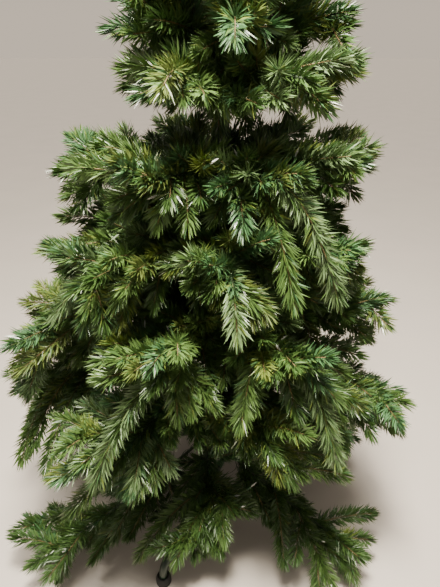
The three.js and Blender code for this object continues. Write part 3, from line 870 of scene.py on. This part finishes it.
def make_lights(whorls, leader, rng):
    """Lamps on the sprays, a lead out along each arm and back, leads from arm to arm, and one up the pole"""
    lights = Lights()
    for name, arms in whorls.items():
        for arm, following in zip(arms, arms[1:] + arms[:1]):
            lights.clip_lamps(arm, LAMPS_PER_ARM[name], rng)
            for _ in range(2):
                lights.wind_lead(arm.path[1:-3], rng.uniform(*LEAD_FIRST_TURN))
            lights.hang_lead(arm.path[4], following.path[4], between(*HANGING_LEAD_SAG, rng.random()))
    lights.clip_lamps(leader, LAMPS_ON_TOP, rng)
    lights.wind_lead(leader.path[:-4], 0)
    lights.wind_pole()
    for name, number, place, base, tip in PLACED_LAMPS:
        path = whorls[name][number - 1].path
        base, tip = place_at(*base), place_at(*tip)
        lights.add_lamp(base, unit(tip - base))
        lights.hang_lead(path[round(place * (len(path) - 1))], base, PLACED_LEAD_SAG)
    return lights


# Pole


def bevelled_steps(steps):
    """An outline of (radius, height) whose sudden steps have small bevels"""
    outline = []
    for z, before, after in steps:
        if abs(after - before) < POLE_BEVEL:
            outline.append((before, z))
            continue
        widens = after > before
        inset = math.copysign(POLE_BEVEL * BEVEL_WIDTH, after - before)
        outline += [(before, z if widens else z - POLE_BEVEL), (before + inset, z)]
        outline += [(after - inset, z), (after, z + POLE_BEVEL if widens else z)]
    return outline


def add_hinge(pole, whorl, azimuth):
    """Two ears and a pin that hold an arm's wire at its collar"""
    out = radial(azimuth)
    across = radial(azimuth + 90)
    middle = place_at(azimuth, pole_radius_at(whorl["height"]) + HINGE_REACH, whorl["height"])
    gap = ARM_RADII[0] + EAR_GAP
    for side in (-gap, gap):
        pole.add_leaned(*plate(EAR_OUTLINE, middle + across * side, out, UP, EAR_THICKNESS))
    neck, end = (gap + reach for reach in PIN_HEAD)
    pin = [middle + out * PIN_REACH + across * offset for offset in (-end, -neck, neck, end)]
    pole.add_leaned(*tube(pin, PIN_RADII + PIN_RADII[::-1], 10))


def make_pole():
    pole = MeshParts()
    steps = [(LEAN_FROM, POLE_RADII[0], POLE_RADII[0])]
    for whorl in WHORLS.values():
        radius = pole_radius_at(whorl["height"])
        rim = radius + COLLAR_GROWTH * COLLAR_RIM
        steps.append((whorl["height"] - COLLAR_HEIGHT / 2, radius, rim))
        steps.append((whorl["height"] + COLLAR_HEIGHT / 2, rim, radius))
    for top, radius, next_radius in zip(SECTION_TOPS, POLE_RADII, POLE_RADII[1:]):
        steps.append((top - SLEEVE_HEIGHT, radius, radius + SLEEVE_GROWTH))
        steps.append((top, radius + SLEEVE_GROWTH, next_radius))
    outline = [(0, POLE_FOOT_Z), (POLE_RADII[0], POLE_FOOT_Z)]
    outline += bevelled_steps(sorted(steps))
    outline += [(POLE_RADII[-1], POLE_TOP_Z), (0, POLE_TOP_Z)]
    pole.add_leaned(*turned(outline, 40))
    for whorl in WHORLS.values():
        for azimuth in arm_azimuths(whorl):
            add_hinge(pole, whorl, azimuth)
    return pole


def add_arm_wire(wires, arm):
    """The arm's wire: twisted where it shows, and plain inside its needles"""
    split = max(2, math.ceil((arm.bare_share + TWIST_OVERLAP) * (len(arm.path) - 1)))
    bare, _ = resampled(arm.path[: split + 1], TWIST_STEP)
    wires.add_leaned(*tube(bare, ARM_RADII[0], 8, TWIST_DEPTH))
    inside = arm.path[split:]
    wires.add_leaned(*tube(inside, np.linspace(*ARM_RADII, len(inside)), 6))


# Stand


def level_tube(azimuth, z, steps, sides):
    """A level tube that points away from the axis, from pairs of distance and radius"""
    distances, radii = zip(*steps)
    return tube([place_at(azimuth, distance, z) for distance in distances], radii, sides)


def make_socket():
    """The cup under the pole, its ring and its eye bolts"""
    socket = MeshParts()
    radius = SOCKET_RADIUS
    edge = CUP_EDGE
    bore = POLE_RADII[0] + FIT
    floor = POLE_FOOT_Z - CUP_FLOOR_GAP
    outline = [
        (0, 0), (radius - edge, 0), (radius, edge),
        (radius, HUB_Z[0]), (HUB_RADIUS - edge, HUB_Z[0]), (HUB_RADIUS, HUB_Z[0] + edge),
        (HUB_RADIUS, HUB_Z[1] - edge), (HUB_RADIUS - edge, HUB_Z[1]), (radius + edge, HUB_Z[1]),
        (radius, HUB_Z[1] + edge), (radius, SOCKET_HEIGHT - edge), (radius - edge, SOCKET_HEIGHT),
        (bore + edge / 2, SOCKET_HEIGHT), (bore, SOCKET_HEIGHT - edge / 2), (bore, floor), (0, floor),
    ]
    socket.add(*turned(outline, 48))
    z = SOCKET_HEIGHT - BOLT_DROP
    for i in range(BOLT_COUNT):
        azimuth = FIRST_LEG_AZIMUTH + BOLT_TURN + 360 * i / BOLT_COUNT
        socket.add(*level_tube(azimuth, z, BOLT_SHANK, 12))
        out = radial(azimuth)
        ring = tilted(out, np.cross(UP, out), np.radians(np.linspace(*EYE_ARC, 22)))
        socket.add(*tube(place_at(azimuth, EYE_REACH, z) + EYE_RADIUS * ring, EYE_WIRE_RADIUS, 8))
    return socket


def leg_path(azimuth):
    """Level out of the hub, then in a bend down into the foot"""
    run = [place_at(azimuth, distance, LEG_Z) for distance in LEG_RUN]
    bend_start = place_at(azimuth, LEG_REACH - LEG_BEND, LEG_Z)
    corner = place_at(azimuth, LEG_REACH, LEG_Z)
    bend_end = place_at(azimuth, LEG_REACH, FOOT_HEIGHT)
    s = shares(12)
    bend = (1 - s) ** 2 * bend_start + 2 * s * (1 - s) * corner + s * s * bend_end
    return np.concatenate([run, bend, [place_at(azimuth, LEG_REACH, FOOT_FLOOR + LEG_END_GAP)]])


def make_legs():
    """Bent tubes, each with a sleeve and a bolt at the hub"""
    legs = MeshParts()
    for azimuth in LEG_AZIMUTHS:
        legs.add(*tube(leg_path(azimuth), LEG_RADIUS, 20))
        legs.add(*level_tube(azimuth, LEG_Z, LEG_SLEEVE, 24))
        legs.add(*turned_along(HEAD_OUTLINE, place_at(azimuth, HEAD_REACH, LEG_Z), UP, 6))
    return legs


def make_feet():
    feet = MeshParts()
    radius = FOOT_RADIUS
    top = FOOT_HEIGHT
    waist = radius - FOOT_GROOVE
    lip = LEG_RADIUS + FOOT_GROOVE
    bore = LEG_RADIUS + FIT
    outline = [
        (0, 0), (radius - 0.003, 0), (radius - 0.0008, 0.001), (radius, 0.003), (radius, 0.008),
        (waist, 0.0088), (waist, 0.0102), (radius, 0.011), (radius, top * 0.5), (radius * 0.97, top * 0.62),
        (radius * 0.8, top - 0.0015), (radius * 0.74, top), (lip, top), (bore, top - 0.001),
        (bore, FOOT_FLOOR), (0, FOOT_FLOOR),
    ]
    for azimuth in LEG_AZIMUTHS:
        vertices, triangles = turned(outline, 32)
        feet.add(vertices + radial(azimuth) * LEG_REACH, triangles)
    return feet


# Materials


class Surface:
    """A material whose colour, gloss and relief vary with noise in the piece's own space"""

    def __init__(self, name, specular=0.5):
        self.material = bpy.data.materials.new(name)
        self.material.use_nodes = True
        self.nodes = self.material.node_tree.nodes
        self.links = self.material.node_tree.links
        self.shader = self.nodes["Principled BSDF"]
        self.shader.inputs["Specular IOR Level"].default_value = specular

    def add_node(self, kind, values):
        node = self.nodes.new(kind)
        for name, value in values.items():
            node.inputs[name].default_value = value
        return node

    def noise(self, scale, detail=3.0):
        place = self.nodes.new("ShaderNodeTexCoord")
        noise = self.add_node("ShaderNodeTexNoise", {"Scale": scale, "Detail": detail})
        self.links.new(place.outputs["Object"], noise.inputs["Vector"])
        return noise.outputs["Fac"]

    def vary_colour(self, value, colour, contrast):
        ramp = self.nodes.new("ShaderNodeValToRGB")
        dark, pale = ramp.color_ramp.elements
        dark.position = 0.32
        pale.position = 0.68
        dark.color = [*(part * (1 - contrast) for part in colour), 1]
        pale.color = [*(min(1, part * (1 + contrast)) for part in colour), 1]
        self.links.new(value, ramp.inputs["Fac"])
        self.links.new(ramp.outputs["Color"], self.shader.inputs["Base Color"])

    def vary_roughness(self, value, low, high):
        values = {"From Min": 0.3, "From Max": 0.7, "To Min": low, "To Max": high}
        node = self.add_node("ShaderNodeMapRange", values)
        self.links.new(value, node.inputs["Value"])
        self.links.new(node.outputs["Result"], self.shader.inputs["Roughness"])

    def add_bump(self, value, strength, distance):
        bump = self.add_node("ShaderNodeBump", {"Strength": strength, "Distance": distance})
        self.links.new(value, bump.inputs["Height"])
        self.links.new(bump.outputs["Normal"], self.shader.inputs["Normal"])


def needle_material(name, colour):
    """Cut plastic film: a plain colour, with gloss that changes from needle to needle"""
    film = Surface(f"{name}_green")
    film.shader.inputs["Base Color"].default_value = (*colour, 1)
    film.vary_roughness(film.noise(260), 0.24, 0.46)
    return film.material


def twig_material():
    """Brown paper-coated wire, with an uneven grain"""
    paper = Surface("twig_wire", specular=0.3)
    grain = paper.noise(420, detail=4)
    paper.vary_colour(grain, TWIG_COLOUR, contrast=0.45)
    paper.vary_roughness(grain, 0.55, 0.8)
    paper.add_bump(grain, strength=0.5, distance=0.0006)
    return paper.material


def painted_material(name, colour, roughness):
    """Sprayed enamel on steel: slight unevenness, and paler worn spots"""
    paint = Surface(name)
    wear = paint.noise(90, detail=6)
    grain = paint.noise(900, detail=2)
    paint.vary_colour(wear, colour, contrast=0.3)
    paint.vary_roughness(wear, roughness * 0.8, roughness * 1.3)
    paint.add_bump(grain, strength=0.25, distance=0.0003)
    return paint.material


def rubber_material():
    rubber = Surface("black_rubber", specular=0.35)
    dust = rubber.noise(120, detail=5)
    rubber.vary_colour(dust, RUBBER_COLOUR, contrast=0.4)
    rubber.vary_roughness(dust, 0.6, 0.85)
    rubber.add_bump(dust, strength=0.3, distance=0.0004)
    return rubber.material


def lead_material(name, colour):
    plastic = Surface(name, specular=0.45)
    tone = plastic.noise(200, detail=2)
    plastic.vary_colour(tone, colour, contrast=0.25)
    plastic.vary_roughness(tone, 0.35, 0.5)
    return plastic.material


def glass_material():
    """A clear lamp: mostly pale with a bright gloss, as small glass looks from a step away. The pale base
    colour is a painted highlight for the glass's glints.
    """
    glass = Surface("lamp_glass", specular=0.9)
    glass.shader.inputs["Base Color"].default_value = (*GLASS_GLINT_COLOUR, 1)
    glass.shader.inputs["Transmission Weight"].default_value = 0.25
    glass.vary_roughness(glass.noise(150, detail=2), 0.08, 0.2)
    return glass.material


def floor_material():
    floor = Surface("pale_floor", specular=0.2)
    floor.vary_colour(floor.noise(3, detail=4), FLOOR_COLOUR, contrast=0.02)
    floor.shader.inputs["Roughness"].default_value = 0.85
    return floor.material


# Stage


def add_to_scene(name, data, rotation, place=(0, 0, 0)):
    holder = bpy.data.objects.new(name, data)
    holder.location = place
    holder.rotation_euler = rotation
    bpy.context.scene.collection.objects.link(holder)
    return holder


def add_light(kind, name, rotation, power, colour, place=(0, 0, 0)):
    light = bpy.data.lights.new(name, kind)
    light.energy = power
    light.color = colour
    add_to_scene(name, light, rotation, place)
    return light


def light_studio():
    """A round soft light over the front, and one that lights the floor alike everywhere"""
    place = Vector((0, -0.42, 2.6))
    target = Vector((0, -0.2, 0.7))
    rotation = (target - place).to_track_quat("-Z", "Y").to_euler()
    ceiling = add_light("AREA", "ceiling", rotation, power=210, colour=(1, 0.93, 0.8), place=place)
    ceiling.shape = "DISK"
    ceiling.size = 0.5
    rotation = Vector((-0.08, -0.08, 1)).to_track_quat("Z", "Y").to_euler()
    sky = add_light("SUN", "sky", rotation, power=3.5, colour=(1, 0.95, 0.85))
    sky.angle = math.radians(20)


def make_world():
    """An even studio: as bright as the floor at the horizon, darker above it"""
    world = bpy.data.worlds.new("studio")
    bpy.context.scene.world = world
    world.use_nodes = True
    nodes, links = world.node_tree.nodes, world.node_tree.links
    place = nodes.new("ShaderNodeTexCoord")
    parts = nodes.new("ShaderNodeSeparateXYZ")
    ramp = nodes.new("ShaderNodeValToRGB")
    ramp.color_ramp.interpolation = "EASE"
    ramp.color_ramp.elements[0].position = 0.03
    ramp.color_ramp.elements[0].color = (0.71, 0.603, 0.484, 1)
    ramp.color_ramp.elements[1].position = 0.22
    ramp.color_ramp.elements[1].color = (0.46, 0.42, 0.37, 1)
    links.new(place.outputs["Generated"], parts.inputs["Vector"])
    links.new(parts.outputs["Z"], ramp.inputs["Fac"])
    links.new(ramp.outputs["Color"], nodes["Background"].inputs["Color"])


def make_stage():
    floor = MeshParts()
    outline = [(0, -FLOOR_THICKNESS), (FLOOR_RADIUS, -FLOOR_THICKNESS), (FLOOR_RADIUS, 0), (0, 0)]
    floor.add(*turned(outline, 64))
    mesh = floor.build("floor", [floor_material()], False)
    make_world()
    light_studio()


def make_camera():
    camera = bpy.data.cameras.new("camera")
    camera.lens = CAMERA_LENS
    camera.clip_start = 0.02
    rotation = (math.radians(90 - CAMERA_PITCH), 0, 0)
    bpy.context.scene.camera = add_to_scene("camera", camera, rotation, CAMERA_PLACE)


# The tree


def generator(*numbers):
    return np.random.default_rng([SEED, *numbers])


def grow_whorls():
    whorls = {}
    for index, (name, whorl) in enumerate(WHORLS.items()):
        whorls[name] = []
        for number, azimuth in enumerate(arm_azimuths(whorl), 1):
            whorls[name].append(grow_arm(name, number, azimuth, generator(index, number)))
    add_placed_sprays(whorls, generator(PLACED_DRAWS))
    return whorls


def needle_pieces(name, arms, materials):
    """The needles of a whorl, in as few pieces as the size limit lets"""
    groups, total = [[]], 0
    for arm in arms:
        count = sum(len(triangles) for _, triangles, _ in arm.needles.parts)
        if total + count > PIECE_LIMIT:
            groups.append([])
            total = 0
        groups[-1].append(arm)
        total += count
    for number, group in enumerate(groups, 1):
        parts = MeshParts()
        for arm in group:
            parts.parts += arm.needles.parts
        piece = parts.build(f"needles_{name}_{number}", materials, False)
        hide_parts(*(arm.node for arm in group))


def wire_pieces(name, arms, twig, bough):
    wires, boughs = MeshParts(), MeshParts()
    for arm in arms:
        wires.parts += arm.wires.parts
        add_arm_wire(boughs, arm)
    wires.build(f"twigs_{name}", [twig], True)
    piece = boughs.build(f"boughs_{name}", [bough], True)
    if name == BOUGH_WHORL:
        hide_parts(*(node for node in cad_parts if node.startswith("bough_")))


def light_pieces(lights):
    socket_plastic = lead_material("socket_green", LAMP_SOCKET_COLOUR)
    lead_plastic = lead_material("lead_green", LEAD_COLOUR)
    lights.sockets.build("lamp_sockets", [socket_plastic], True)
    lights.glasses.build("lamp_glass", [glass_material()], True)
    lights.leads.build("lamp_leads", [lead_plastic], True)


def pole_and_stand_pieces(pole_paint, stand_paint):
    pole = make_pole().build("pole", [pole_paint], True)
    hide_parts("trunk_pole")
    socket = make_socket().build("stand_cup", [stand_paint], True)
    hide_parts("stand_socket")
    legs = make_legs().build("stand_tubes", [stand_paint], True)
    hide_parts(*(f"stand_leg_{i + 1}" for i in range(LEG_COUNT)))
    feet = make_feet().build("stand_cups", [rubber_material()], True)
    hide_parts(*(f"stand_foot_{i + 1}" for i in range(LEG_COUNT)))


def main():
    make_camera()
    make_stage()
    needle_materials = [needle_material(name, values[0]) for name, values in NEEDLE_COLOURS.items()]
    twig = twig_material()
    bough = painted_material("bough_enamel", BOUGH_COLOUR, roughness=0.5)
    pole_paint = painted_material("pole_enamel", POLE_COLOUR, roughness=0.34)
    stand_paint = painted_material("stand_enamel", STAND_COLOUR, roughness=0.38)

    whorls = grow_whorls()
    for name, arms in whorls.items():
        needle_pieces(name, arms, needle_materials)
        wire_pieces(name, arms, twig, bough)
    leader = grow_leader(generator(LEADER_DRAWS))
    needle_pieces("top", [leader], needle_materials)
    add_arm_wire(leader.wires, leader)
    leader.wires.build("twigs_top", [twig], True)
    light_pieces(make_lights(whorls, leader, generator(LIGHTS_DRAWS)))
    pole_and_stand_pieces(pole_paint, stand_paint)


main()
